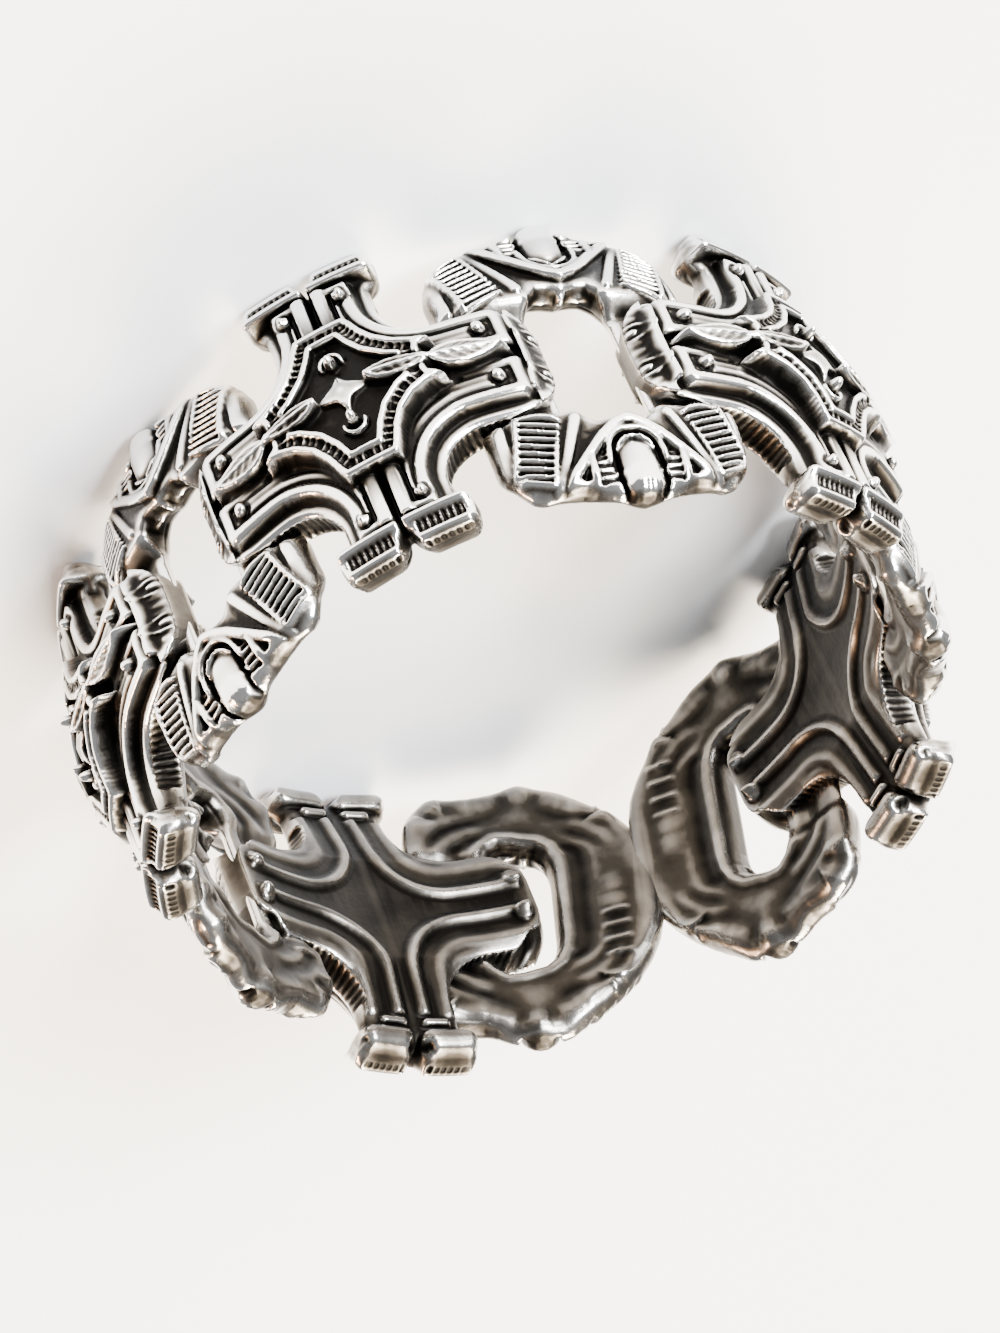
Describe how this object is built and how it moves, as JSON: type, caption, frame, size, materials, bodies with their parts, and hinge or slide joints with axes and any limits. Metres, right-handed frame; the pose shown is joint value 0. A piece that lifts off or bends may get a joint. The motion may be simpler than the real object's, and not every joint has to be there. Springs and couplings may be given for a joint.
{
  "type": "cross band ring",
  "caption": "Finger ring cast as a pierced band of ornate crosses joined by oval links, with raised star plates, hooves and reeded panels.",
  "frame": {"origin": "centre of the ring's box, in the plane of the rim that it lies on", "axes": "+Z along the finger's axis, from the rim that the ring lies on to the upper rim; +X through the middle cross"},
  "size_m": [0.0252, 0.0256, 0.0112],
  "materials": {
    "silver": "oxidised silver with polished high edges"
  },
  "bodies": {
    "root": {"band": "silver"}
  },
  "joints": []
}
